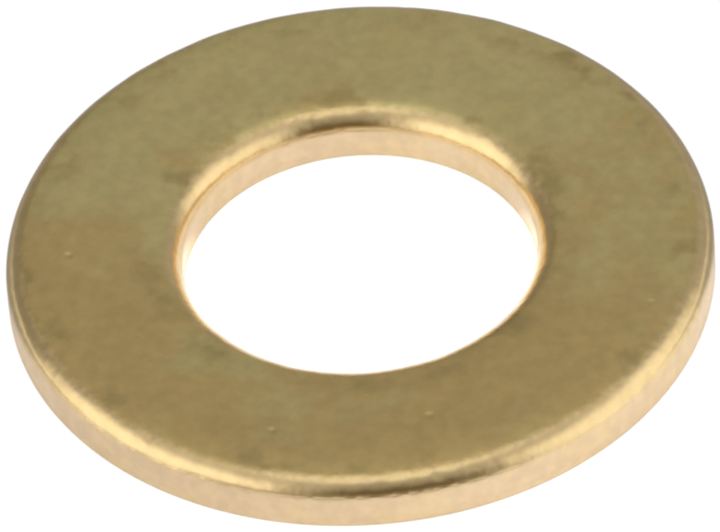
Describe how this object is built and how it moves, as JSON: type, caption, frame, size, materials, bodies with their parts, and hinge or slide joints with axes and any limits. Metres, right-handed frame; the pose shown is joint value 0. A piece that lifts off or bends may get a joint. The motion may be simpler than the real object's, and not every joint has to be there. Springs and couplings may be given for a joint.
{
  "type": "flat washer",
  "caption": "Flat round brass washer with a centred round bolt hole and softly rolled upper edges, to spread the load under a nut or a bolt head.",
  "frame": {"origin": "centre of the washer's underside, on the axis of the bore", "axes": "+Z along the bore axis, from the underside to the upper face, which is the one with the rolled edges; X and Y lie in the underside and are alike"},
  "size_m": [0.0206, 0.0206, 0.0016],
  "materials": {
    "brass": "rolled sheet, tumbled: satin flat faces, brighter rounded edges, smooth sheared walls"
  },
  "bodies": {
    "root": {"washer": "brass"}
  },
  "joints": []
}
